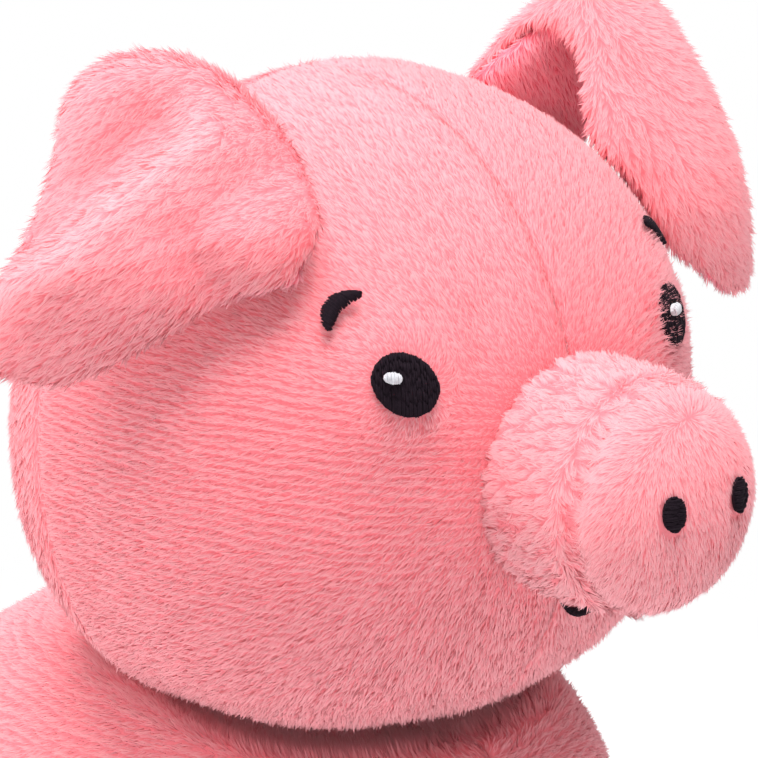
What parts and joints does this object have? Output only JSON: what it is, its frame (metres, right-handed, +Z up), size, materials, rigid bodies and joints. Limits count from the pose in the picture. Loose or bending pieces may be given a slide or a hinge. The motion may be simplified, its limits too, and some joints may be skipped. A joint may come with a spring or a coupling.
{
  "type": "plush pig",
  "caption": "Standing plush pig with a round head, gathered tube snout, floppy ears, stubby stuffed legs and a curled tail; a soft toy to cuddle or display.",
  "frame": {"origin": "on the surface the pig stands on, under the middle of its outline", "axes": "+Z up, -Y towards the snout, +X towards the pig's left"},
  "size_m": [0.1336, 0.179, 0.2024],
  "materials": {
    "fabric": "short combed pile, matte",
    "snout_fabric": "short pile, paler on the gathered snout, matte",
    "ear_lining": "short pile, deeper pink, matte",
    "thread_black": "satin-stitched thread",
    "thread_white": "satin-stitched thread",
    "fibre": "loose polyester stuffing"
  },
  "bodies": {
    "torso": {"torso_side_right": "fabric", "torso_side_left": "fabric", "torso_belly": "fabric", "torso_filling": "fibre"},
    "neck": {"neck_filling": "fibre"},
    "head": {"head_side_right": "fabric", "head_side_left": "fabric", "head_back": "fabric", "head_filling": "fibre", "snout_band": "snout_fabric", "snout_disc": "snout_fabric", "snout_filling": "fibre", "eye_right": "thread_black", "eye_left": "thread_black", "eye_glint_right": "thread_white", "eye_glint_left": "thread_white", "brow_right": "thread_black", "brow_left": "thread_black", "nostril_right": "thread_black", "nostril_left": "thread_black", "mouth": "thread_black"},
    "ear_right": {"ear_back_right": "fabric", "ear_front_right": "ear_lining"},
    "ear_left": {"ear_back_left": "fabric", "ear_front_left": "ear_lining"},
    "leg_front_right": {"leg_cover_front_right": "fabric", "leg_filling_front_right": "fibre", "sole_front_right": "fabric"},
    "leg_front_left": {"leg_cover_front_left": "fabric", "leg_filling_front_left": "fibre", "sole_front_left": "fabric"},
    "leg_hind_right": {"leg_cover_hind_right": "fabric", "leg_filling_hind_right": "fibre", "sole_hind_right": "fabric"},
    "leg_hind_left": {"leg_cover_hind_left": "fabric", "leg_filling_hind_left": "fibre", "sole_hind_left": "fabric"},
    "tail": {"tail": "fabric"}
  },
  "joints": [
    {"name": "neck_turn", "type": "hinge", "parent": "torso", "child": "neck", "pos_m": [0.00045, -0.01286, 0.1031], "axis": [0, 0, 1], "range_deg": [-12, 12], "stiffness_Nm_per_rad": 0.5},
    {"name": "head_nod", "type": "hinge", "parent": "neck", "child": "head", "pos_m": [0.00045, -0.01286, 0.1031], "axis": [1, 0, 0], "range_deg": [-6, 8], "stiffness_Nm_per_rad": 0.5},
    {"name": "ear_right_lift", "type": "hinge", "parent": "head", "child": "ear_right", "pos_m": [-0.03897, -0.01281, 0.17846], "axis": [-0.6887, -0.0005, -0.725], "range_deg": [0, 50], "stiffness_Nm_per_rad": 0.008},
    {"name": "ear_left_lift", "type": "hinge", "parent": "head", "child": "ear_left", "pos_m": [0.03985, -0.0128, 0.17847], "axis": [-0.6887, 0.0002, 0.725], "range_deg": [0, 50], "stiffness_Nm_per_rad": 0.008},
    {"name": "leg_front_right_swing", "type": "hinge", "parent": "torso", "child": "leg_front_right", "pos_m": [-0.02705, -0.02586, 0.043], "axis": [1, 0, 0], "range_deg": [-10, 10], "stiffness_Nm_per_rad": 0.4},
    {"name": "leg_front_left_swing", "type": "hinge", "parent": "torso", "child": "leg_front_left", "pos_m": [0.02795, -0.02586, 0.043], "axis": [1, 0, 0], "range_deg": [-10, 10], "stiffness_Nm_per_rad": 0.4},
    {"name": "leg_hind_right_swing", "type": "hinge", "parent": "torso", "child": "leg_hind_right", "pos_m": [-0.02705, 0.04514, 0.031], "axis": [1, 0, 0], "range_deg": [-10, 10], "stiffness_Nm_per_rad": 0.4},
    {"name": "leg_hind_left_swing", "type": "hinge", "parent": "torso", "child": "leg_hind_left", "pos_m": [0.02795, 0.04514, 0.031], "axis": [1, 0, 0], "range_deg": [-10, 10], "stiffness_Nm_per_rad": 0.4},
    {"name": "tail_wag", "type": "hinge", "parent": "torso", "child": "tail", "pos_m": [0.00045, 0.07127, 0.0764], "axis": [0, 0, 1], "range_deg": [-15, 15], "stiffness_Nm_per_rad": 0.003}
  ]
}
